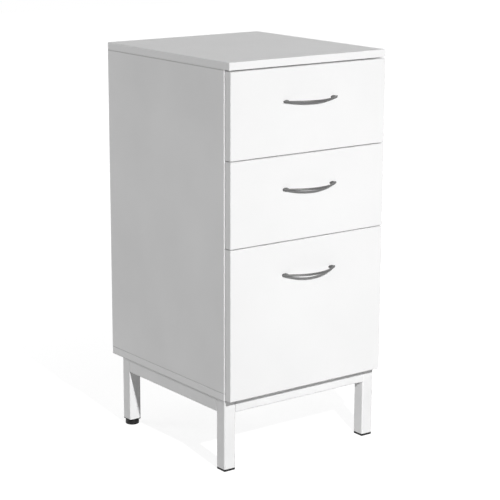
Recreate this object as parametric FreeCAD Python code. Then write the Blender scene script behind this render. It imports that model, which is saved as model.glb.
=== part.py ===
import FreeCAD, Part
import math
import os

# Reagent drawer cabinet: a white board carcass with three full-width drawers on telescopic
# ball-bearing slides, standing on a welded square-tube frame.
# Millimetres. +Z up, the drawers pull out along -Y, +X is the right-hand side seen from the front.
# The origin is on the floor, in the middle of everything's outline seen from above.

# ---------------------------------------------------------------- carcass
cabinet_width = 400.0
cabinet_depth = 445.0          # drawer faces to the back edge of the carcass
board = 16.0                   # carcass board
edge_radius = 1.0              # rounded edge band on every exposed board edge
back_thickness = 5.0
back_inset = 10.0              # back panel stands this far in front of the rear edges
back_groove_depth = 6.0
groove_clearance = 0.2

# ---------------------------------------------------------------- drawer fronts
front_board = 18.0
shallow_front_height = 176.0
deep_front_height = 316.0
front_proud = 2.0              # drawer faces in front of the worktop's edge
front_side_margin = 1.5        # front stops this far inside the outer face of the carcass
front_gap = 2.0                # between two fronts
worktop_gap = 2.5              # between the top front and the worktop
bottom_reveal = 3.5            # bottom panel shows this much below the lowest front
bumper_thickness = 1.6
bumper_radius = 4.0
bumper_clearance = 0.3
bumper_corner = 25.0           # from the front's top or bottom edge

# ---------------------------------------------------------------- drawer boxes
box_board = 16.0
box_bottom_thickness = 5.0
box_bottom_lift = 10.0         # groove above the lower edge of the box
box_groove_depth = 6.0
box_rear_clearance = 7.0       # box to the back panel
box_lift = 22.0                # box starts this far above the lower edge of its front
box_drop = 34.0                # and ends this far below the upper edge

# ---------------------------------------------------------------- telescopic slides
slide_space = 12.7             # between carcass side and drawer side
slide_setback = 1.5            # behind the front edge of the carcass
slide_rear_clearance = 8.6     # slide to the back panel
slide_rise = 40.0              # slide axis above the lower edge of the box
slide_sheet = 1.2
outer_height = 45.0
middle_height = 35.0
inner_height = 25.0
outer_flange = 10.4
middle_web_offset = 3.6        # web of the middle member from the carcass side
middle_flange = 8.2
middle_shortening = 4.0        # at each end
inner_flange = 7.0
ball_radius = 2.3
outer_race = 7.4               # ball track from the carcass side
inner_race = 8.2
slide_screw_inset = 35.0       # screw from the end of a slide member
slide_screw_radius = 2.0
slide_screw_head_radius = 3.6
slide_screw_head = 1.6
slide_screw_length = 13.0
slide_hole_clearance = 0.2
access_hole_radius = 5.0

# ---------------------------------------------------------------- bow handles
handle_hole_spacing = 128.0
handle_projection = 34.0
handle_drop = 68.5             # below the upper edge of the front
handle_mid_depth = 7.0
handle_mid_height = 4.6
handle_tip_depth = 3.6
handle_tip_height = 5.0
handle_tip_offset = 2.2        # tip centre in front of the drawer face
handle_tip_reach = 4.4         # bow beyond each screw
handle_sections = 11
post_lean = 3.2                # middle of a post inboard of its screw
post_base_width = 15.0
post_base_height = 6.4
post_neck_width = 9.0
post_neck_height = 3.2
handle_screw_radius = 2.0
handle_screw_grip = 5.0        # thread length inside the post
handle_screw_head_radius = 4.0
handle_screw_head = 2.4
handle_hole_clearance = 0.25
thread_clearance = 0.05

# ---------------------------------------------------------------- base frame
base_height = 152.0            # floor to the underside of the bottom panel
tube = 28.0
tube_wall = 1.5
tube_radius = 2.5
frame_side_inset = 1.0
rear_leg_inset = 40.0          # rear face of the rear legs from the back of the carcass
cap_head = 5.0
cap_plug = 18.0
cap_wall = 2.0
cap_edge = 1.2
plug_clearance = 0.05
insert_flange = 2.0
insert_plug = 24.0
foot_height = 11.2
foot_radius = 15.0
foot_top_radius = 12.5
foot_edge = 2.0
foot_gap = 0.3
foot_travel = 15.0
stud_radius = 4.0
stud_clearance = 0.05
stud_engagement = 9.0          # stud left in its insert with the foot screwed right out
stud_socket = 7.0              # stud inside the pad
frame_screw_radius = 2.25
frame_screw_head_radius = 4.5
frame_screw_head = 3.0
frame_screw_bite = 12.0        # into the bottom panel
frame_screw_inset = 60.0       # from the end of a side rail
frame_hole_clearance = 0.2
frame_access_radius = 6.0

# ---------------------------------------------------------------- cam fittings of the carcass
cam_radius = 7.5
cam_depth = 12.0
cam_inset = 34.0               # cam centre from the joint
cam_edge = 50.0                # cam centre from the front and back edges
cam_bolt_radius = 3.5
cam_thread_radius = 2.5
cam_thread = 11.0
cam_clearance = 0.1

# ---------------------------------------------------------------- derived places
y_face = -(cabinet_depth - handle_projection) / 2.0
y_worktop = y_face + front_proud
y_front_back = y_face + front_board
y_carcass = y_front_back + bumper_thickness + bumper_clearance
y_rear = y_face + cabinet_depth
y_back_panel = y_rear - back_inset - back_thickness
half_width = cabinet_width / 2.0
half_inner = half_width - board
half_front = half_width - front_side_margin
half_box = half_inner - slide_space
z_carcass = base_height + board
tube_bore = tube - 2.0 * tube_wall
half_frame = half_width - frame_side_inset
half_handle = handle_hole_spacing / 2.0 + handle_tip_reach
box_depth = y_back_panel - box_rear_clearance - y_front_back
y_slide = y_carcass + slide_setback
slide_length = y_back_panel - slide_rear_clearance - y_slide

drawer_names = ("drawer_bottom", "drawer_middle", "drawer_top")
front_heights = (deep_front_height, shallow_front_height, shallow_front_height)
front_bases = []
level = base_height + bottom_reveal
for height in front_heights:
    front_bases.append(level)
    level += height + front_gap
z_worktop = level - front_gap + worktop_gap
z_top = z_worktop + board


def block(x0, x1, y0, y1, z0, z1):
    return Part.makeBox(x1 - x0, y1 - y0, z1 - z0, FreeCAD.Vector(x0, y0, z0))


def rod(radius, start, end):
    start = FreeCAD.Vector(*start)
    reach = FreeCAD.Vector(*end) - start
    return Part.makeCylinder(radius, reach.Length, start, reach)


def mirrored(shape):
    return shape.mirror(FreeCAD.Vector(0, 0, 0), FreeCAD.Vector(1, 0, 0))


def both_sides(shape):
    return [shape, mirrored(shape)]


def save(node, shapes):
    whole = shapes[0] if len(shapes) == 1 else Part.makeCompound(shapes)
    whole.exportStep(os.path.join("parts", node + ".step"))


def edges_on(shape, test):
    return [e for e in shape.Edges if all(test(v.Point) for v in e.Vertexes)]


def rounded_square(side, radius):
    """Closed wire of a rounded square in the XY plane, centred on the origin."""
    half = side / 2.0
    flat = half - radius
    knee = radius * (1.0 - math.sqrt(0.5))
    pieces = []
    for quarter in range(4):
        turn = FreeCAD.Rotation(FreeCAD.Vector(0, 0, 1), 90.0 * quarter)
        ends = [turn.multVec(FreeCAD.Vector(half, y, 0)) for y in (-flat, flat)]
        middle = turn.multVec(FreeCAD.Vector(half - knee, half - knee, 0))
        corner = turn.multVec(FreeCAD.Vector(flat, half, 0))
        pieces.append(Part.LineSegment(ends[0], ends[1]).toShape())
        pieces.append(Part.Arc(ends[1], middle, corner).toShape())
    return Part.Wire(pieces)


def square_bar(side, radius, length):
    return Part.Face(rounded_square(side, radius)).extrude(FreeCAD.Vector(0, 0, length))


def square_tube(length):
    """Length of the frame's tube, standing on the origin."""
    outside = square_bar(tube, tube_radius, length)
    return outside.cut(square_bar(tube_bore, tube_radius - tube_wall, length))


def tube_between(start, end):
    start = FreeCAD.Vector(*start)
    reach = FreeCAD.Vector(*end) - start
    piece = square_tube(reach.Length)
    piece.Placement = FreeCAD.Placement(start, FreeCAD.Rotation(FreeCAD.Vector(0, 0, 1), reach))
    return piece


# ---------------------------------------------------------------- carcass
def cam_places():
    """Axis points of the cams on the left side: (y, z of the joint, direction out of the side)."""
    for y in (y_carcass + cam_edge, y_rear - cam_edge):
        yield y, z_worktop, 1.0
        yield y, z_carcass, -1.0


def cam_fitting(y, z_joint, way, extra):
    """Cam and bolt joining a side to a horizontal board; extra widens them into their bores."""
    x = -half_inner - board / 2.0
    z_cam = z_joint - way * cam_inset
    x_face = -half_inner
    cam = rod(cam_radius + extra, (x_face - cam_depth - extra, y, z_cam), (x_face, y, z_cam))
    z_neck = z_cam + way * cam_radius
    bolt = rod(cam_bolt_radius + extra, (x, y, z_neck), (x, y, z_joint))
    thread = rod(cam_thread_radius + extra, (x, y, z_joint), (x, y, z_joint + way * (cam_thread + extra)))
    return cam, bolt, thread


def cam_solids():
    solids = []
    for y, z_joint, way in cam_places():
        cam, bolt, thread = cam_fitting(y, z_joint, way, 0.0)
        solids += both_sides(cam) + both_sides(bolt.fuse(thread))
    return solids


def cam_bores(index):
    """The cam, bolt or thread bores of the left side."""
    return [cam_fitting(y, z_joint, way, cam_clearance)[index] for y, z_joint, way in cam_places()]


def worktop():
    top = block(-half_width, half_width, y_worktop, y_rear, z_worktop, z_top)
    top = top.makeFillet(edge_radius, top.Edges)
    bores = [s for bore in cam_bores(2) for s in both_sides(bore)]
    return top.cut(bores)


def bottom_panel():
    panel = block(-half_width, half_width, y_carcass, y_rear, base_height, z_carcass)
    panel = panel.makeFillet(edge_radius, panel.Edges)
    bores = [s for bore in cam_bores(2) for s in both_sides(bore)]
    for x, y in frame_screw_places():
        z_tip = base_height + frame_screw_bite + frame_hole_clearance
        bores.append(rod(frame_screw_radius + frame_hole_clearance, (x, y, base_height), (x, y, z_tip)))
    return panel.cut(bores)


def side_panel():
    """Left side, with the back panel's groove, the cam bores and the slide screws' holes."""
    panel = block(-half_width, -half_inner, y_carcass, y_rear, z_carcass, z_worktop)
    upright = [e for e in panel.Edges if abs(e.Vertexes[0].Z - e.Vertexes[1].Z) > board]
    panel = panel.makeFillet(edge_radius, upright)
    groove = block(-half_inner - back_groove_depth, -half_inner, y_back_panel,
                   y_back_panel + back_thickness + groove_clearance, z_carcass, z_worktop)
    return panel.cut([groove] + cam_bores(0) + cam_bores(1) + cabinet_screws(slide_hole_clearance / 4.0))


def back_panel():
    reach = half_inner + back_groove_depth - groove_clearance
    return block(-reach, reach, y_back_panel, y_back_panel + back_thickness, z_carcass, z_worktop)


# ---------------------------------------------------------------- telescopic slides
def channel(height, flange):
    """C section of bent sheet: web on X = 0, flanges towards +X, one millimetre long along Y."""
    half = height / 2.0
    bend = 2.0 * slide_sheet
    inner = bend - slide_sheet
    knee = math.sqrt(0.5)

    def at(x, z):
        return FreeCAD.Vector(x, 0, z)

    def line(a, b):
        return Part.LineSegment(a, b).toShape()

    def arc(centre, radius, sign, a, b):
        middle = at(centre[0] - radius * knee, centre[1] + sign * radius * knee)
        return Part.Arc(a, middle, b).toShape()

    upper, lower = half - bend, -half + bend
    outline = [
        line(at(0, lower), at(0, upper)),
        arc((bend, upper), bend, 1.0, at(0, upper), at(bend, half)),
        line(at(bend, half), at(flange, half)),
        line(at(flange, half), at(flange, half - slide_sheet)),
        line(at(flange, half - slide_sheet), at(bend, half - slide_sheet)),
        arc((bend, upper), inner, 1.0, at(bend, half - slide_sheet), at(slide_sheet, upper)),
        line(at(slide_sheet, upper), at(slide_sheet, lower)),
        arc((bend, lower), inner, -1.0, at(slide_sheet, lower), at(bend, -half + slide_sheet)),
        line(at(bend, -half + slide_sheet), at(flange, -half + slide_sheet)),
        line(at(flange, -half + slide_sheet), at(flange, -half)),
        line(at(flange, -half), at(bend, -half)),
        arc((bend, lower), bend, -1.0, at(bend, -half), at(0, lower)),
    ]
    return Part.Face(Part.Wire(outline))


def ball_track_height(outside, inside):
    """Height of the ball centres between an outer flange and the flange inside it."""
    return (outside / 2.0 - slide_sheet + inside / 2.0) / 2.0


def ball_tracks(x, height, length):
    """Grooves rolled into the flanges, above and below, along the whole member."""
    return [rod(ball_radius, (x, 0, sign * height), (x, length, sign * height)) for sign in (-1, 1)]


def screw_offsets(length):
    return (slide_screw_inset, length - slide_screw_inset)


def web_holes(radius, length, x):
    """Round holes through a web whose near face is at x."""
    return [rod(radius, (x - slide_sheet, y, 0), (x + 2.0 * slide_sheet, y, 0)) for y in length]


outer_ball_height = ball_track_height(outer_height, middle_height)
inner_ball_height = ball_track_height(middle_height, inner_height)


def outer_member():
    """Cabinet member, in the slide's own frame: X from the carcass side, Y from its front end."""
    body = channel(outer_height, outer_flange).extrude(FreeCAD.Vector(0, slide_length, 0))
    radius = slide_screw_radius + slide_hole_clearance
    holes = web_holes(radius, screw_offsets(slide_length), 0.0)
    return body.cut(ball_tracks(outer_race, outer_ball_height, slide_length) + holes)


def middle_member():
    length = slide_length - 2.0 * middle_shortening
    body = channel(middle_height, middle_flange).extrude(FreeCAD.Vector(0, length, 0))
    body.translate(FreeCAD.Vector(middle_web_offset, 0, 0))
    tracks = ball_tracks(outer_race, outer_ball_height, length)
    tracks += ball_tracks(inner_race, inner_ball_height, length)
    places = [y - middle_shortening for y in screw_offsets(slide_length)]
    body = body.cut(tracks + web_holes(access_hole_radius, places, middle_web_offset))
    body.translate(FreeCAD.Vector(0, middle_shortening, 0))
    return body


def inner_member():
    body = channel(inner_height, inner_flange).extrude(FreeCAD.Vector(0, slide_length, 0))
    body = mirrored(body)
    body.translate(FreeCAD.Vector(slide_space, 0, 0))
    radius = slide_screw_radius + slide_hole_clearance
    holes = web_holes(radius, screw_offsets(slide_length), slide_space - slide_sheet)
    return body.cut(ball_tracks(inner_race, inner_ball_height, slide_length) + holes)


def slide_height(base):
    return base + box_lift + slide_rise


def on_left(member, base):
    """Put a slide member on the left-hand side of the drawer whose front starts at base."""
    placed = member.copy()
    placed.translate(FreeCAD.Vector(-half_inner, y_slide, slide_height(base)))
    return placed


def slide_screw(x_seat, way, y, z, extra):
    """Flat-headed screw through a slide's web: the head sits on x_seat, the shank points along way."""
    x_tip = x_seat + way * slide_screw_length
    head = rod(slide_screw_head_radius, (x_seat - way * slide_screw_head, y, z), (x_seat, y, z))
    shank = rod(slide_screw_radius + extra, (x_seat, y, z), (x_tip + way * extra, y, z))
    return shank if extra else head.fuse(shank)


def cabinet_screws(extra):
    """Screws of the left-hand outer members, or with extra the holes for them in the side."""
    x_seat = -half_inner + slide_sheet
    return [slide_screw(x_seat, -1.0, y_slide + y, slide_height(base), extra)
            for base in front_bases for y in screw_offsets(slide_length)]


def drawer_screws(base, extra):
    """Screws of the left-hand inner member, or with extra the holes for them in the drawer side."""
    x_seat = -half_box - slide_sheet
    return [slide_screw(x_seat, 1.0, y_slide + y, slide_height(base), extra)
            for y in screw_offsets(slide_length)]


# ---------------------------------------------------------------- drawers
def drawer_front(base, height):
    front = block(-half_front, half_front, y_face, y_front_back, base, base + height)
    front = front.makeFillet(edge_radius, edges_on(front, lambda p: p.y < y_face + 0.01))
    z = base + height - handle_drop
    radius = handle_screw_radius + handle_hole_clearance
    return front.cut([rod(radius, (x, y_face, z), (x, y_front_back, z))
                      for x in (-handle_hole_spacing / 2.0, handle_hole_spacing / 2.0)])


def bottom_slot(base):
    """Groove round the inside of a box that the drawer bottom sits in."""
    reach = half_box - box_board + box_groove_depth
    z = base + box_lift + box_bottom_lift
    y_end = y_front_back + box_depth - box_board + box_groove_depth
    return block(-reach, reach, y_front_back, y_end, z, z + box_bottom_thickness + groove_clearance)


def drawer_side(base, height):
    z = base + box_lift
    side = block(-half_box, -half_box + box_board, y_front_back, y_front_back + box_depth,
                 z, base + height - box_drop)
    rims = [e for e in side.Edges
            if min(v.Z for v in e.Vertexes) > z + 1.0 and abs(e.Vertexes[0].Y - e.Vertexes[1].Y) > board]
    side = side.makeFillet(edge_radius, rims)
    return side.cut([bottom_slot(base)] + drawer_screws(base, slide_hole_clearance / 4.0))


def drawer_back(base, height):
    reach = half_box - box_board
    y_end = y_front_back + box_depth
    back = block(-reach, reach, y_end - box_board, y_end, base + box_lift, base + height - box_drop)
    return back.cut(bottom_slot(base))


def drawer_bottom(base):
    reach = half_box - box_board + box_groove_depth - groove_clearance
    z = base + box_lift + box_bottom_lift
    y_end = y_front_back + box_depth - box_board + box_groove_depth - groove_clearance
    return block(-reach, reach, y_front_back, y_end, z, z + box_bottom_thickness)


def bumpers(base, height):
    """Soft dots on the back of a front, opposite the front edges of the carcass sides."""
    x = -half_inner - board / 2.0
    dots = []
    for z in (max(base + bumper_corner, z_carcass + bumper_corner), base + height - bumper_corner):
        dots += both_sides(rod(bumper_radius, (x, y_front_back, z), (x, y_front_back + bumper_thickness, z)))
    return dots


# ---------------------------------------------------------------- bow handle
def bow_section(share):
    """Half depth, half height and offset of the bow at share of its half length, 1 at a tip."""
    swell = 1.0 - share * share
    depth = handle_tip_depth + (handle_mid_depth - handle_tip_depth) * swell
    height = handle_tip_height + (handle_mid_height - handle_tip_height) * math.sqrt(swell)
    mid_offset = handle_projection - handle_mid_depth / 2.0
    offset = handle_tip_offset + (mid_offset - handle_tip_offset) * swell
    return depth / 2.0, height / 2.0, offset


def oval(normal, half_along, half_up):
    """Ellipse round the origin across normal, a horizontal axis; half_up is its vertical half axis."""
    circle = Part.makeCircle(1.0, FreeCAD.Vector(0, 0, 0), FreeCAD.Vector(*normal))
    squash = FreeCAD.Matrix()
    squash.scale(half_along, half_along, half_up)
    return Part.Wire([circle.transformGeometry(squash)])


def bow_oval(share):
    half_depth, half_height, offset = bow_section(share)
    section = oval((1, 0, 0), half_depth, half_height)
    section.translate(FreeCAD.Vector(share * half_handle, -offset, 0))
    return section


def under_bow():
    """Solid from the drawer face out to the middle of the bow, thicker than a post."""
    stations = [0.1 * i for i in range(-10, 11)]
    arch = Part.BSplineCurve()
    arch.interpolate([FreeCAD.Vector(s * half_handle, -bow_section(s)[2], 0) for s in stations])
    ends = [arch.StartPoint, arch.EndPoint]
    feet = [FreeCAD.Vector(end.x, 0, 0) for end in ends]
    spans = ((feet[0], ends[0]), (ends[1], feet[1]), (feet[1], feet[0]))
    sides = [Part.LineSegment(a, b).toShape() for a, b in spans]
    plate = Part.Face(Part.Wire([sides[0], arch.toShape(), sides[1], sides[2]]))
    plate.translate(FreeCAD.Vector(0, 0, -post_base_height))
    return plate.extrude(FreeCAD.Vector(0, 0, 2.0 * post_base_height))


def handle_posts():
    """Two oval posts flaring from the bow onto the drawer face, and the threads of their screws."""
    x_screw = handle_hole_spacing / 2.0
    x_post = x_screw - post_lean
    x_inner = x_post - post_neck_width / 2.0
    base = oval((0, 1, 0), post_base_width / 2.0, post_base_height / 2.0)
    base.translate(FreeCAD.Vector(-x_post, 0, 0))
    neck = oval((0, 1, 0), post_neck_width / 2.0, post_neck_height / 2.0)
    neck.translate(FreeCAD.Vector(-x_post, -bow_section(x_inner / half_handle)[2], 0))
    post = Part.makeLoft([base, neck], True, True).common(under_bow())
    grip = handle_screw_grip + 10.0 * thread_clearance
    thread = rod(handle_screw_radius + thread_clearance, (-x_screw, 0, 0), (-x_screw, -grip, 0))
    return both_sides(post), both_sides(thread)


def handle(z):
    """One bow handle: a bar lofted through ovals along its bow, on two posts."""
    stations = [2.0 * i / (handle_sections - 1) - 1.0 for i in range(handle_sections)]
    bow = Part.makeLoft([bow_oval(share) for share in stations], True, False)
    posts, threads = handle_posts()
    grip = bow.fuse(posts).cut(threads)
    grip.translate(FreeCAD.Vector(0, y_face, z))
    return grip


def handle_screws(z):
    x = -handle_hole_spacing / 2.0
    head = rod(handle_screw_head_radius, (x, y_front_back, z), (x, y_front_back + handle_screw_head, z))
    shank = rod(handle_screw_radius, (x, y_front_back, z), (x, y_face - handle_screw_grip, z))
    return both_sides(head.fuse(shank))


# ---------------------------------------------------------------- base frame
leg_x = half_frame - tube / 2.0
front_leg_y = y_carcass + tube / 2.0
rear_leg_y = y_rear - rear_leg_inset - tube / 2.0
rail_z = base_height - tube / 2.0
rear_leg_base = foot_height + foot_gap + insert_flange


def frame_screw_places():
    ends = (front_leg_y + tube / 2.0 + frame_screw_inset, rear_leg_y - tube / 2.0 - frame_screw_inset)
    return [(x, y) for x in (-leg_x, leg_x) for y in ends]


def side_rail():
    """Left rail, drilled for the screws that hold the carcass down."""
    rail = tube_between((-leg_x, front_leg_y + tube / 2.0, rail_z), (-leg_x, rear_leg_y - tube / 2.0, rail_z))
    holes = []
    for x, y in frame_screw_places()[:2]:
        holes.append(rod(frame_screw_radius + frame_hole_clearance, (x, y, rail_z), (x, y, base_height)))
        holes.append(rod(frame_access_radius, (x, y, base_height - tube), (x, y, rail_z)))
    return rail.cut(holes)


def left_leg(y, z_low):
    return tube_between((-leg_x, y, z_low), (-leg_x, y, base_height))


def cross_rail(y):
    return tube_between((-leg_x + tube / 2.0, y, rail_z), (leg_x - tube / 2.0, y, rail_z))


def frame_screws():
    screws = []
    z_seat = base_height - tube_wall
    for x, y in frame_screw_places():
        head = rod(frame_screw_head_radius, (x, y, z_seat - frame_screw_head), (x, y, z_seat))
        shank = rod(frame_screw_radius, (x, y, z_seat), (x, y, base_height + frame_screw_bite))
        screws.append(head.fuse(shank))
    return screws


def plug(length):
    return square_bar(tube_bore - 2.0 * plug_clearance, tube_radius - tube_wall, length)


def leg_cap():
    """Push-in cap of the front left leg, standing on the floor."""
    head = square_bar(tube, tube_radius, cap_head)
    head = head.makeFillet(cap_edge, edges_on(head, lambda p: p.z < 0.01))
    shell = plug(cap_plug).cut(square_bar(tube_bore - 2.0 * cap_wall, 0.5, cap_plug))
    shell.translate(FreeCAD.Vector(0, 0, cap_head))
    cap = head.fuse(shell)
    cap.translate(FreeCAD.Vector(-leg_x, front_leg_y, 0))
    return cap


def leg_insert():
    """Threaded insert of the rear left leg."""
    flange = square_bar(tube, tube_radius, insert_flange)
    body = plug(insert_plug)
    body.translate(FreeCAD.Vector(0, 0, insert_flange))
    insert = flange.fuse(body)
    insert = insert.cut(rod(stud_radius + stud_clearance, (0, 0, 0), (0, 0, insert_flange + insert_plug)))
    insert.translate(FreeCAD.Vector(-leg_x, rear_leg_y, rear_leg_base - insert_flange))
    return insert


def foot_pad():
    """Round pad of the rear left levelling foot, turned about its stud."""
    low, high = 0.0, foot_height
    rim = [FreeCAD.Vector(0, 0, low), FreeCAD.Vector(foot_radius - foot_edge, 0, low)]
    knee = foot_edge * (1.0 - math.sqrt(0.5))
    middle = FreeCAD.Vector(foot_radius - knee, 0, low + knee)
    side = FreeCAD.Vector(foot_radius, 0, low + foot_edge)
    shoulder = FreeCAD.Vector(foot_radius, 0, high - 1.5 * foot_edge)
    crown = FreeCAD.Vector(foot_top_radius, 0, high)
    centre = FreeCAD.Vector(0, 0, high)
    outline = [side, shoulder, crown, centre, rim[0]]
    profile = [Part.LineSegment(rim[0], rim[1]), Part.Arc(rim[1], middle, side)]
    profile += [Part.LineSegment(a, b) for a, b in zip(outline, outline[1:])]
    face = Part.Face(Part.Wire([piece.toShape() for piece in profile]))
    pad = face.revolve(FreeCAD.Vector(0, 0, 0), FreeCAD.Vector(0, 0, 1), 360)
    pad = pad.cut(rod(stud_radius, (0, 0, high - stud_socket), (0, 0, high)))
    pad.translate(FreeCAD.Vector(-leg_x, rear_leg_y, 0))
    return pad


def foot_stud():
    z_low = foot_height - stud_socket
    z_high = foot_height + foot_gap + foot_travel + stud_engagement
    return rod(stud_radius, (-leg_x, rear_leg_y, z_low), (-leg_x, rear_leg_y, z_high))


# ---------------------------------------------------------------- write the pieces
def save_pair(pattern, left):
    save(pattern.format("left"), [left])
    save(pattern.format("right"), [mirrored(left)])


def save_carcass():
    save("worktop", [worktop()])
    save("bottom_panel", [bottom_panel()])
    save_pair("side_panel_{}", side_panel())
    save("back_panel", [back_panel()])
    save("carcass_cam_fittings", cam_solids())
    save("cabinet_slide_screws", [s for screw in cabinet_screws(0.0) for s in both_sides(screw)])


def save_frame():
    save_pair("frame_leg_front_{}", left_leg(front_leg_y, cap_head))
    save_pair("frame_leg_rear_{}", left_leg(rear_leg_y, rear_leg_base))
    save_pair("frame_rail_{}", side_rail())
    save("frame_rail_front", [cross_rail(front_leg_y)])
    save("frame_rail_rear", [cross_rail(rear_leg_y)])
    save("frame_screws", frame_screws())
    save("leg_caps_front", both_sides(leg_cap()))
    save("leg_inserts_rear", both_sides(leg_insert()))
    save_pair("levelling_foot_pad_{}", foot_pad())
    save_pair("levelling_foot_stud_{}", foot_stud())


def save_drawer(name, base, height):
    z_handle = base + height - handle_drop
    save(name + "_front", [drawer_front(base, height)])
    save_pair(name + "_side_{}", drawer_side(base, height))
    save(name + "_back", [drawer_back(base, height)])
    save(name + "_base_panel", [drawer_bottom(base)])
    save(name + "_handle", [handle(z_handle)])
    save(name + "_handle_screws", handle_screws(z_handle))
    save(name + "_bumpers", bumpers(base, height))
    save(name + "_slide_inner", both_sides(on_left(inner_member(), base)))
    save(name + "_slide_screws", [s for screw in drawer_screws(base, 0.0) for s in both_sides(screw)])
    save(name + "_slide_middle", both_sides(on_left(middle_member(), base)))
    save(name + "_slide_outer", both_sides(on_left(outer_member(), base)))


save_carcass()
save_frame()
for drawer_name, front_base, front_height in zip(drawer_names, front_bases, front_heights):
    save_drawer(drawer_name, front_base, front_height)
print("overall height", round(z_top, 3), "front face y", y_face, "rear y", y_rear)
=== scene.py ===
import bpy
import bmesh
import math
from mathutils import Matrix, Vector


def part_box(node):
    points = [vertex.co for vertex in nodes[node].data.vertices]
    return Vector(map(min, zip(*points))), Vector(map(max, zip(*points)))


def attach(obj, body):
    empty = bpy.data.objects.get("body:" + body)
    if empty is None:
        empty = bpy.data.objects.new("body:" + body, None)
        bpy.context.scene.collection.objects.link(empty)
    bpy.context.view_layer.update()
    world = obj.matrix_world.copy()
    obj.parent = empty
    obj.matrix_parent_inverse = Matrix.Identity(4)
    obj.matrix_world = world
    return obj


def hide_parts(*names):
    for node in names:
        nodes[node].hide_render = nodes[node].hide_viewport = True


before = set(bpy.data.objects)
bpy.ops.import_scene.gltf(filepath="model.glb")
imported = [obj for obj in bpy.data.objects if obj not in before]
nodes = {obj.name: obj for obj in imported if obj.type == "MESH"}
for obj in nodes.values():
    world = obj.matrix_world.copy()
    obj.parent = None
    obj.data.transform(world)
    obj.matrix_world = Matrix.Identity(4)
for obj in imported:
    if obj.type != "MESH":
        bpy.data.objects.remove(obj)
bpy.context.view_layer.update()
scene = bpy.context.scene

# ---------------------------------------------------------------- named values
# Lengths are in metres, and tones are linear: 0 is black and 1 is white.
X, Y, Z = 0, 1, 2
DRAWERS = ("drawer_top", "drawer_middle", "drawer_bottom")
SHARP_ANGLE = math.radians(32.0)  # faces that meet at more than this keep a crisp edge

# Most of a noise lies between these values. A ramp that starts from them uses its whole range.
NOISE_NARROW = (0.35, 0.65)
NOISE_MIDDLE = (0.30, 0.70)
NOISE_WIDE = (0.25, 0.75)

BOARD_TONE = 0.90
BOARD_ROUGHNESS = (0.31, 0.41)
MOTTLE = 0.012  # soft patches in the tone of every board
SPECK = 0.010  # fine grain in the tone of every board
SIDE_REFLECTION_CLOUD = 0.035  # painted reflection: wide lighter and darker clouds in the tone of the two side panels
BOARD_FACE = 0.9  # the normal's part across the thickness is more than this on a face, less on an edge
BAND_LINE_IN = (0.00085, 0.00100)  # how far from the board's edge the edge band's line fades in
BAND_LINE_OUT = (0.00110, 0.00130)  # and how far from it the line fades out
BAND_LINE_STRENGTH = 0.30
# Painted shade: the line at a joint between two boards mixes this much dark grey into the board's colour.
SEAM_SHADE_STRENGTH = 0.42
SEAM_SHADE_FADE = (0.0008, 0.0024)  # how far from a joint between two boards its painted shade line fades out

SCREW_SEGMENTS = 20
SCREW_SPREAD = 0.012  # points of one screw are closer than this across its axis
SCREW_REACH = 0.06  # and closer than this along it
HEAD_SHARE = 0.8  # a point belongs to the head beyond this share of the largest radius
TIP, THREAD_ROOT, NECK, THREAD_PITCH = 0.35, 0.78, 0.85, 0.55  # shares of the shank's radius
HEAD_DOME = ((1.0, 0.34), (0.96, 0.60), (0.84, 0.82), (0.62, 0.95), (0.3, 1.0))  # of radius, of height
RECESS_REACH, RECESS_WIDTH = 0.52, 0.24  # shares of the head's radius
RECESS_DEPTH = 0.72  # share of the head's height
RECESS_BOTTOM, RECESS_TOP = 0.45, 1.55  # shares of the recess's reach at the two ends of its punch

FLOOR_REACH = 9.0
FLOOR_TONE = 0.42  # the floor as it lights the object
FLOOR_SHADE = 0.30  # the floor's diffuse tone where it is seen, which carries the shadow
FLOOR_GLOW = 0.87  # what it gives off where it is seen, near its middle; further out this rises to 1
FLOOR_GLOW_FADE = (0.5, 2.6)  # the distances from its middle between which it rises
WORLD_LEVEL = 0.10

CAMERA_PLACE = (-2.09297, -2.80899, 1.23892)
CAMERA_YAW, CAMERA_PITCH, CAMERA_ROLL = 36.732, 13.360, 0.181  # degrees
FRAME_PIXELS = 500.0
FOCAL_PIXELS = 1667.99
SENSOR_WIDTH = 36.0  # millimetres


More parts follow.
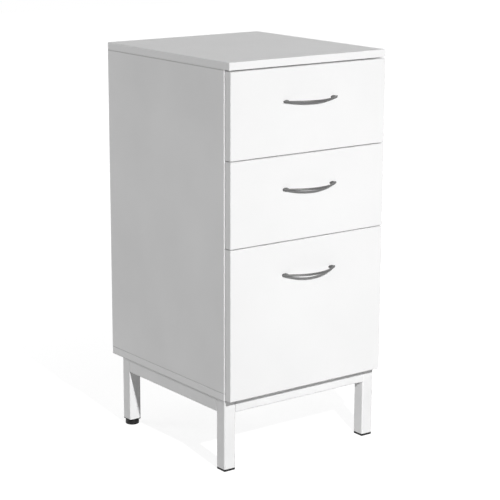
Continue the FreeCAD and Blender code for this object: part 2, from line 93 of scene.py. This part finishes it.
# ---------------------------------------------------------------- material helpers
class Tree:
    """One material and its node tree, with short calls for the nodes that are used here."""

    def __init__(self, name):
        self.material = bpy.data.materials.new(name)
        self.material.use_nodes = True
        self.nodes = self.material.node_tree.nodes
        self.links = self.material.node_tree.links
        self.bsdf = self.nodes["Principled BSDF"]

    def add(self, kind, **settings):
        node = self.nodes.new(kind)
        for key, value in settings.items():
            setattr(node, key, value)
        return node

    def link(self, source, target):
        self.links.new(source, target)

    def set(self, **sockets):
        """Set constants on the shader's own sockets. An underscore stands for a space."""
        for key, value in sockets.items():
            self.bsdf.inputs[key.replace("_", " ")].default_value = value

    def drive(self, **sockets):
        """Link other nodes to the shader's sockets. An underscore stands for a space."""
        for key, source in sockets.items():
            self.link(source, self.bsdf.inputs[key.replace("_", " ")])

    def math(self, operation, a, b=None, clamp=False):
        node = self.add("ShaderNodeMath", operation=operation, use_clamp=clamp)
        for socket, value in zip(node.inputs, (a, b)):
            if value is None:
                continue
            if isinstance(value, (int, float)):
                socket.default_value = value
            else:
                self.link(value, socket)
        return node.outputs[0]

    def coordinates(self, output="Object"):
        return self.add("ShaderNodeTexCoord").outputs[output]

    def split(self, vector):
        """The X, Y and Z sockets of a vector."""
        node = self.add("ShaderNodeSeparateXYZ")
        self.link(vector, node.inputs[0])
        return node.outputs

    def noise(self, scale, detail=2.0, roughness=0.5, stretch=None):
        source = self.coordinates()
        if stretch:
            mapping = self.add("ShaderNodeMapping")
            mapping.inputs["Scale"].default_value = stretch
            self.link(source, mapping.inputs["Vector"])
            source = mapping.outputs[0]
        node = self.add("ShaderNodeTexNoise")
        node.inputs["Scale"].default_value = scale
        node.inputs["Detail"].default_value = detail
        node.inputs["Roughness"].default_value = roughness
        self.link(source, node.inputs["Vector"])
        return node.outputs["Fac"]

    def ramp(self, value, low, high, from_low=0.0, from_high=1.0):
        """Map from_low..from_high linearly onto low..high, and hold the ends."""
        node = self.add("ShaderNodeMapRange")
        node.inputs["From Min"].default_value = from_low
        node.inputs["From Max"].default_value = from_high
        node.inputs["To Min"].default_value = low
        node.inputs["To Max"].default_value = high
        self.link(value, node.inputs["Value"])
        return node.outputs[0]

    def mix(self, factor, a, b):
        """Mix two colours, each a tuple or a socket."""
        node = self.add("ShaderNodeMix", data_type="RGBA")
        self.link(factor, node.inputs["Factor"])
        colours = [socket for socket in node.inputs if socket.type == "RGBA"]
        for socket, value in zip(colours, (a, b)):
            if isinstance(value, tuple):
                socket.default_value = value
            else:
                self.link(value, socket)
        return next(socket for socket in node.outputs if socket.type == "RGBA")

    def bump(self, height, strength, distance):
        node = self.add("ShaderNodeBump")
        node.inputs["Strength"].default_value = strength
        node.inputs["Distance"].default_value = distance
        self.link(height, node.inputs["Height"])
        self.drive(Normal=node.outputs[0])


def grey(value, warm=0.0):
    return (value * (1.0 + warm), value, value * (1.0 - warm), 1.0)


def edge_distance(tree, low, high, axes):
    """Distance from the nearest of the edges across the two axes."""
    place = tree.split(tree.coordinates())
    distance = None
    for axis in axes:
        from_low = tree.math("SUBTRACT", place[axis], low[axis])
        from_high = tree.math("SUBTRACT", high[axis], place[axis])
        for side in (from_low, from_high):
            distance = side if distance is None else tree.math("MINIMUM", distance, side)
    return distance


def band_line(tree, low, high, thickness_axis):
    """1 on the line round a board's faces where its edge bands are glued on, and 0 elsewhere."""
    distance = edge_distance(tree, low, high, [axis for axis in (X, Y, Z) if axis != thickness_axis])
    inside = tree.ramp(distance, 0.0, 1.0, *BAND_LINE_IN)
    outside = tree.ramp(distance, 1.0, 0.0, *BAND_LINE_OUT)
    line = tree.math("MULTIPLY", inside, outside, clamp=True)
    normal = tree.split(tree.coordinates("Normal"))
    face = tree.math("GREATER_THAN", tree.math("ABSOLUTE", normal[thickness_axis]), BOARD_FACE)
    return tree.math("MULTIPLY", line, face)


def painted_seam_shade(tree, height):
    """Painted shade at a joint between two boards: the line's full strength at the joint's height, and 0
    away from it.
    """
    place = tree.split(tree.coordinates())
    off = tree.math("ABSOLUTE", tree.math("SUBTRACT", place[Z], height))
    return tree.ramp(off, SEAM_SHADE_STRENGTH, 0.0, *SEAM_SHADE_FADE)


# ---------------------------------------------------------------- materials
def board_material(node, thickness_axis, reflection_cloud=0.0, shaded_seams=()):
    """White melamine-faced board: a fine orange-peel face, faint mottling, edge bands, painted shade
    lines at its joints and, on the side panels, painted reflection clouds.
    """
    tree = Tree("board_" + node)
    mottle = tree.ramp(tree.noise(6.0, detail=3.0), -MOTTLE, MOTTLE, *NOISE_MIDDLE)
    speck = tree.ramp(tree.noise(900.0), -SPECK, SPECK, *NOISE_MIDDLE)
    brightness = tree.math("ADD", tree.math("ADD", mottle, speck), BOARD_TONE)
    # Painted reflection: wide soft clouds lighten and darken the side panels' tone, as a glossy
    # reflection would.
    if reflection_cloud:
        clouds = tree.ramp(tree.noise(3.2, detail=3.0, roughness=0.55), -reflection_cloud, reflection_cloud, *NOISE_MIDDLE)
        brightness = tree.math("ADD", brightness, clouds)
    combine = tree.add("ShaderNodeCombineColor")
    for socket in combine.inputs:
        tree.link(brightness, socket)
    low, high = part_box(node)
    band = tree.math("MULTIPLY", band_line(tree, low, high, thickness_axis), BAND_LINE_STRENGTH)
    colour = tree.mix(band, combine.outputs[0], grey(0.45, warm=0.02))
    # Painted shade: a dark line at the height of each joint with another board.
    for height in shaded_seams:
        colour = tree.mix(painted_seam_shade(tree, height), colour, grey(0.20, warm=0.03))
    rough = tree.ramp(tree.noise(38.0, detail=4.0, roughness=0.6), *BOARD_ROUGHNESS, *NOISE_WIDE)
    tree.drive(Base_Color=colour, Roughness=rough)
    tree.set(IOR=1.47)
    tree.bump(tree.noise(1100.0, roughness=0.6), strength=0.10, distance=0.0004)
    return tree.material


def hardboard_material():
    """Thin white-lacquered hardboard, a little warmer and rougher than the faced board."""
    tree = Tree("hardboard_white")
    patches = tree.ramp(tree.noise(22.0, detail=5.0, roughness=0.6), 0.0, 1.0, *NOISE_NARROW)
    tree.drive(
        Base_Color=tree.mix(patches, grey(0.84, warm=0.008), grey(0.88, warm=0.004)),
        Roughness=tree.ramp(tree.noise(60.0), 0.48, 0.62),
    )
    tree.bump(tree.noise(700.0, detail=4.0, roughness=0.7), strength=0.22, distance=0.0005)
    return tree.material


def powder_coat_material():
    """White powder coat on steel tube: orange peel and slightly uneven gloss."""
    tree = Tree("powder_coat_white")
    patches = tree.ramp(tree.noise(14.0, detail=4.0), 0.0, 1.0, *NOISE_NARROW)
    tree.drive(
        Base_Color=tree.mix(patches, grey(0.86), grey(0.90)),
        Roughness=tree.ramp(tree.noise(120.0, detail=3.0), 0.30, 0.42),
    )
    tree.set(IOR=1.5)
    tree.bump(tree.noise(520.0, detail=3.0, roughness=0.55), strength=0.28, distance=0.0005)
    return tree.material


def black_plastic_material():
    """Black moulded polyethylene with a fine spark-eroded texture and lighter scuffs."""
    tree = Tree("plastic_black")
    scuffs = tree.ramp(tree.noise(240.0, detail=6.0, roughness=0.7), 0.0, 1.0, 0.58, 0.78)
    tree.drive(
        Base_Color=tree.mix(scuffs, grey(0.004), grey(0.016)),
        Roughness=tree.ramp(tree.noise(300.0, detail=3.0), 0.42, 0.60),
    )
    tree.set(Specular_IOR_Level=0.30)
    tree.bump(tree.noise(2600.0), strength=0.35, distance=0.0003)
    return tree.material


def satin_nickel_material():
    """Satin nickel lacquer: soft grey metal, finely brushed along the bow."""
    tree = Tree("nickel_satin")
    brushing = tree.noise(900.0, detail=4.0, roughness=0.6, stretch=(0.04, 1.0, 1.0))
    patches = tree.ramp(tree.noise(35.0, detail=3.0), 0.0, 1.0, *NOISE_MIDDLE)
    patchy = tree.mix(patches, grey(0.12, warm=0.003), grey(0.15, warm=0.004))
    strokes = tree.ramp(brushing, 0.0, 0.35, 0.4, 0.7)
    tree.drive(
        Base_Color=tree.mix(strokes, patchy, grey(0.10, warm=0.004)),
        Roughness=tree.ramp(brushing, 0.36, 0.50, *NOISE_MIDDLE),
    )
    tree.set(Metallic=0.55)
    tree.bump(brushing, strength=0.12, distance=0.0002)
    return tree.material


def zinc_material(name, tone, rough, stretch=None):
    """Bright zinc plating over steel, with faint crystalline clouds."""
    tree = Tree(name)
    spangle = tree.noise(220.0, detail=5.0, roughness=0.65, stretch=stretch)
    patches = tree.ramp(spangle, 0.0, 1.0, *NOISE_NARROW)
    tree.drive(
        Base_Color=tree.mix(patches, grey(tone * 0.86, warm=-0.01), grey(tone, warm=-0.004)),
        Roughness=tree.ramp(spangle, rough - 0.06, rough + 0.08, *NOISE_MIDDLE),
    )
    tree.set(Metallic=1.0)
    tree.bump(spangle, strength=0.08, distance=0.0002)
    return tree.material


def clear_rubber_material():
    """Clear soft rubber of the dots on the backs of the drawer fronts."""
    tree = Tree("rubber_clear")
    patches = tree.ramp(tree.noise(800.0, detail=3.0), 0.0, 1.0, *NOISE_MIDDLE)
    tree.drive(Base_Color=tree.mix(patches, grey(0.72, warm=0.01), grey(0.80, warm=0.01)))
    tree.set(Roughness=0.35, Transmission_Weight=0.45, IOR=1.45)
    tree.bump(tree.noise(900.0), strength=0.1, distance=0.0002)
    return tree.material


coat = powder_coat_material()
plastic = black_plastic_material()
nickel = satin_nickel_material()
hardboard = hardboard_material()
slide_zinc = zinc_material("zinc_slide", tone=0.62, rough=0.34, stretch=(1.0, 0.15, 1.0))
screw_zinc = zinc_material("zinc_screw", tone=0.58, rough=0.30)
cast_zinc = zinc_material("zinc_cast", tone=0.50, rough=0.42)
rubber = clear_rubber_material()

# ---------------------------------------------------------------- looks of the CAD nodes
# Each board, with the axis that its thickness lies along.
boards = {"worktop": Z, "bottom_panel": Z, "side_panel_left": X, "side_panel_right": X}
for drawer in DRAWERS:
    boards[drawer + "_front"] = Y
    boards[drawer + "_side_left"] = X
    boards[drawer + "_side_right"] = X
    boards[drawer + "_back"] = Y


def look_of_board(node):
    """The side panels get painted reflection clouds and a painted shade line at both ends, and the bottom
    panel gets a painted shade line along its lower edge.
    """
    low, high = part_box(node)
    if node.startswith("side_panel"):
        return board_material(node, boards[node], reflection_cloud=SIDE_REFLECTION_CLOUD, shaded_seams=(low[Z], high[Z]))
    if node == "bottom_panel":
        return board_material(node, boards[node], shaded_seams=(low[Z],))
    return board_material(node, boards[node])


def look_of(node):
    """The material of a CAD node, by its name."""
    if node in boards:
        return look_of_board(node)
    if node.endswith("_screws") or node.startswith("levelling_foot_stud"):
        return screw_zinc
    if node.startswith("frame_"):
        return coat
    if node.startswith(("leg_", "levelling_foot_pad")):
        return plastic
    if node.endswith("_handle"):
        return nickel
    if "_slide_" in node:
        return slide_zinc
    if node.endswith("_bumpers"):
        return rubber
    if node.endswith("fittings"):
        return cast_zinc
    return hardboard


def smooth_by_angle(mesh):
    """Shade the curved faces smooth and keep the corners crisp. No vertex moves."""
    for polygon in mesh.polygons:
        polygon.use_smooth = True
    mesh.set_sharp_from_angle(angle=SHARP_ANGLE)


for name, obj in nodes.items():
    obj.data.materials.clear()
    obj.data.materials.append(look_of(name))
    smooth_by_angle(obj.data)


# ---------------------------------------------------------------- screws with a cross recess
def add_object(name, data):
    obj = bpy.data.objects.new(name, data)
    scene.collection.objects.link(obj)
    return obj


def object_from(name, bm):
    """A zinc-plated object with the shape of a bmesh, which is used up."""
    mesh = bpy.data.meshes.new(name)
    bmesh.ops.recalc_face_normals(bm, faces=bm.faces)
    bm.to_mesh(mesh)
    bm.free()
    smooth_by_angle(mesh)
    mesh.materials.append(screw_zinc)
    return add_object(name, mesh)


def lathe(profile, segments):
    """Closed solid turned round Z from (radius, height) points that start and end on the axis."""
    bm = bmesh.new()
    angles = [2.0 * math.pi * i / segments for i in range(segments)]
    rings = []
    for radius, height in profile:
        ring = [(radius * math.cos(t), radius * math.sin(t), height) for t in angles]
        if radius == 0.0:
            ring = ring[:1]
        rings.append([bm.verts.new(place) for place in ring])
    for low, high in zip(rings, rings[1:]):
        for i in range(segments):
            j = (i + 1) % segments
            corners = (low[i % len(low)], low[j % len(low)], high[j % len(high)], high[i % len(high)])
            bm.faces.new(tuple(dict.fromkeys(corners)))
    return bm


def cross_cutter(reach, width, depth, top):
    """Tapered cross-shaped punch that stands from top - depth to above top."""
    bm = bmesh.new()
    for along in (X, Y):
        rings = []
        for z, share in ((top - depth, RECESS_BOTTOM), (top + depth, RECESS_TOP)):
            half = (reach * share, width / 2.0)
            xs, ys = (half, half[::-1])[along]
            corners = ((-xs, -ys), (xs, -ys), (xs, ys), (-xs, ys))
            rings.append([bm.verts.new((x, y, z)) for x, y in corners])
        low, high = rings
        bm.faces.new(low[::-1])
        bm.faces.new(high)
        for i in range(4):
            j = (i + 1) % 4
            bm.faces.new((low[i], low[j], high[j], high[i]))
    return bm


def screw_mesh(name, head_radius, head_height, shank_radius, length):
    """Pan-head screw along +Z: its seat is at zero, its cross recess is cut into the domed head."""
    pitch = THREAD_PITCH * shank_radius
    profile = [(0.0, -length), (TIP * shank_radius, -length)]
    z = -length + shank_radius
    while z < -2.0 * pitch:
        profile += [(THREAD_ROOT * shank_radius, z), (shank_radius, z + 0.5 * pitch)]
        z += pitch
    profile += [(NECK * shank_radius, -pitch), (NECK * shank_radius, 0.0), (head_radius, 0.0)]
    profile += [(share * head_radius, rise * head_height) for share, rise in HEAD_DOME]
    profile.append((0.0, head_height))
    cutter = cross_cutter(
        reach=RECESS_REACH * head_radius,
        width=RECESS_WIDTH * head_radius,
        depth=RECESS_DEPTH * head_height,
        top=head_height,
    )
    blank = object_from(name + "_blank", lathe(profile, SCREW_SEGMENTS))
    punch = object_from(name + "_punch", cutter)
    cut = blank.modifiers.new("recess", "BOOLEAN")
    cut.operation = "DIFFERENCE"
    cut.solver = "EXACT"
    cut.use_self = True
    cut.object = punch
    evaluated = blank.evaluated_get(bpy.context.evaluated_depsgraph_get())
    mesh = bpy.data.meshes.new_from_object(evaluated)
    mesh.name = name
    bpy.data.objects.remove(blank)
    bpy.data.objects.remove(punch)
    return mesh


def screw_places(node, axis):
    """Seat point and outward direction of each screw of a CAD node whose screws lie along axis."""
    across = [a for a in (X, Y, Z) if a != axis]

    def apart(p, q):
        return math.hypot(*(p[a] - q[a] for a in across))

    groups = []
    for vertex in nodes[node].data.vertices:
        point = nodes[node].matrix_world @ vertex.co
        for group in groups:
            first = group[0]
            if apart(point, first) < SCREW_SPREAD and abs(point[axis] - first[axis]) < SCREW_REACH:
                group.append(point)
                break
        else:
            groups.append([point])
    places = []
    for group in groups:
        centre = [(min(p[a] for p in group) + max(p[a] for p in group)) / 2.0 for a in (X, Y, Z)]
        largest = max(apart(p, centre) for p in group)
        head = [p[axis] for p in group if apart(p, centre) > HEAD_SHARE * largest]
        outward = 1.0 if sum(head) / len(head) > centre[axis] else -1.0
        seat = list(centre)
        seat[axis] = min(head) if outward > 0 else max(head)
        places.append((Vector(seat), Vector([outward if a == axis else 0.0 for a in (X, Y, Z)])))
    return places


def fit_screws(node, body, axis, source, spin):
    """Replace a CAD node's screws by detailed ones at the same places, each turned on by spin."""
    bm = bmesh.new()
    for index, (seat, outward) in enumerate(screw_places(node, axis)):
        aim = outward.to_track_quat("Z", "Y").to_matrix().to_4x4()
        turn = aim @ Matrix.Rotation(spin * (index + 1), 4, "Z")
        copy = source.copy()
        copy.transform(Matrix.Translation(seat) @ turn)
        bm.from_mesh(copy)
        bpy.data.meshes.remove(copy)
    screws = object_from(node + "_detailed", bm)
    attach(screws, body)
    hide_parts(node)


slide_screw = screw_mesh(
    "slide_screw", head_radius=0.0036, head_height=0.0016, shank_radius=0.0020, length=0.0125
)
handle_screw = screw_mesh(
    "handle_screw", head_radius=0.0040, head_height=0.0024, shank_radius=0.0020, length=0.0220
)
frame_screw = screw_mesh(
    "frame_screw", head_radius=0.0045, head_height=0.0030, shank_radius=0.00225, length=0.0130
)
fit_screws("cabinet_slide_screws", "cabinet", X, slide_screw, spin=0.71)
fit_screws("frame_screws", "cabinet", Z, frame_screw, spin=0.53)
for drawer in DRAWERS:
    fit_screws(drawer + "_slide_screws", drawer, X, slide_screw, spin=0.83)
    fit_screws(drawer + "_handle_screws", drawer, Y, handle_screw, spin=0.37)


# ---------------------------------------------------------------- floor, world and light
def seen_directly(tree):
    """A socket that is 1 for camera, glossy and transmission rays, and 0 for the light on the object."""
    path = tree.nodes.new("ShaderNodeLightPath")
    total = path.outputs["Is Camera Ray"]
    for kind in ("Is Glossy Ray", "Is Transmission Ray"):
        add = tree.nodes.new("ShaderNodeMath")
        add.operation = "ADD"
        add.use_clamp = True
        tree.links.new(total, add.inputs[0])
        tree.links.new(path.outputs[kind], add.inputs[1])
        total = add.outputs[0]
    return total


def studio_floor():
    """Plain floor that looks white, lights the object as a grey one does and keeps its soft shadow."""
    mesh = bpy.data.meshes.new("studio_floor")
    corners = [(x * FLOOR_REACH, y * FLOOR_REACH, 0) for x, y in ((-1, -1), (1, -1), (1, 1), (-1, 1))]
    mesh.from_pydata(corners, [], [(0, 1, 2, 3)])
    floor = add_object("studio_floor", mesh)
    tree = Tree("studio_floor")
    tree.set(Base_Color=grey(FLOOR_TONE), Roughness=0.9, Specular_IOR_Level=0.0)
    distance = tree.add("ShaderNodeVectorMath", operation="LENGTH")
    tree.link(tree.coordinates(), distance.inputs[0])
    level = tree.ramp(distance.outputs["Value"], FLOOR_GLOW, 1.0, *FLOOR_GLOW_FADE)
    glow = tree.add("ShaderNodeEmission")
    tree.link(level, glow.inputs["Strength"])
    shade = tree.add("ShaderNodeBsdfDiffuse")
    shade.inputs["Color"].default_value = grey(FLOOR_SHADE)
    white = tree.add("ShaderNodeAddShader")
    tree.link(glow.outputs[0], white.inputs[0])
    tree.link(shade.outputs[0], white.inputs[1])
    choose = tree.add("ShaderNodeMixShader")
    tree.link(seen_directly(tree.material.node_tree), choose.inputs[0])
    tree.link(tree.bsdf.outputs[0], choose.inputs[1])
    tree.link(white.outputs[0], choose.inputs[2])
    tree.link(choose.outputs[0], tree.nodes["Material Output"].inputs["Surface"])
    mesh.materials.append(tree.material)


def studio_world():
    """World that looks white and gives the object a low even level."""
    world = bpy.data.worlds.new("studio_world")
    scene.world = world
    world.use_nodes = True
    tree = world.node_tree
    tree.nodes.clear()
    choose = tree.nodes.new("ShaderNodeMixShader")
    tree.links.new(seen_directly(tree), choose.inputs[0])
    for socket, level in ((choose.inputs[1], WORLD_LEVEL), (choose.inputs[2], 1.0)):
        background = tree.nodes.new("ShaderNodeBackground")
        background.inputs["Color"].default_value = grey(1.0)
        background.inputs["Strength"].default_value = level
        tree.links.new(background.outputs[0], socket)
    output = tree.nodes.new("ShaderNodeOutputWorld")
    tree.links.new(choose.outputs[0], output.inputs["Surface"])


def area_light(name, place, target, size, watts):
    """Round lamp at place that points at target."""
    lamp = bpy.data.lights.new(name, "AREA")
    lamp.shape = "DISK"
    lamp.size = size
    lamp.energy = watts
    obj = add_object(name, lamp)
    direction = Vector(target) - Vector(place)
    obj.rotation_euler = direction.to_track_quat("-Z", "Y").to_euler()
    obj.location = place
    obj.visible_camera = False
    return lamp


def even_reach(lamp):
    """The lamp keeps its strength with distance, so an open drawer is lit like a closed one."""
    lamp.use_nodes = True
    tree = lamp.node_tree
    falloff = tree.nodes.new("ShaderNodeLightFalloff")
    falloff.inputs["Strength"].default_value = 1.0
    tree.links.new(falloff.outputs["Constant"], tree.nodes["Emission"].inputs["Strength"])


studio_floor()
studio_world()
key_light = area_light("key_light", (-0.44, -1.61, 1.18), target=(0.9, 0.0, 0.0), size=0.08, watts=10.2)
even_reach(key_light)
area_light("left_front_light", (-2.2, -1.7, 1.3), target=(-0.2, 0.0, 0.35), size=0.6, watts=2.0)
area_light("back_left_light", (-2.3, 2.1, 1.5), target=(-0.2, 0.0, 0.42), size=1.4, watts=18.5)
area_light("back_light", (-0.8, 3.0, 1.3), target=(0.0, 0.0, 0.45), size=1.2, watts=9.0)
area_light("right_light", (2.5, 0.5, 1.6), target=(0.0, 0.0, 0.45), size=1.2, watts=18.0)


# ---------------------------------------------------------------- camera
def photograph_camera():
    """Camera at the photograph's place: 8.5 degrees of half view, looking back, right and down."""
    yaw, pitch, roll = (math.radians(angle) for angle in (CAMERA_YAW, CAMERA_PITCH, CAMERA_ROLL))
    ahead = math.cos(pitch)
    forward = Vector((math.sin(yaw) * ahead, math.cos(yaw) * ahead, -math.sin(pitch)))
    level = Vector((math.cos(yaw), -math.sin(yaw), 0.0))
    upright = level.cross(forward)
    right = math.cos(roll) * level + math.sin(roll) * upright
    up = -math.sin(roll) * level + math.cos(roll) * upright
    data = bpy.data.cameras.new("camera")
    data.sensor_width = SENSOR_WIDTH
    data.lens = SENSOR_WIDTH * FOCAL_PIXELS / FRAME_PIXELS
    data.clip_end = 60.0
    obj = add_object("camera", data)
    rotation = Matrix((right, up, -forward)).transposed()
    obj.matrix_world = Matrix.Translation(CAMERA_PLACE) @ rotation.to_4x4()
    scene.camera = obj


photograph_camera()
scene.view_settings.view_transform = "Standard"
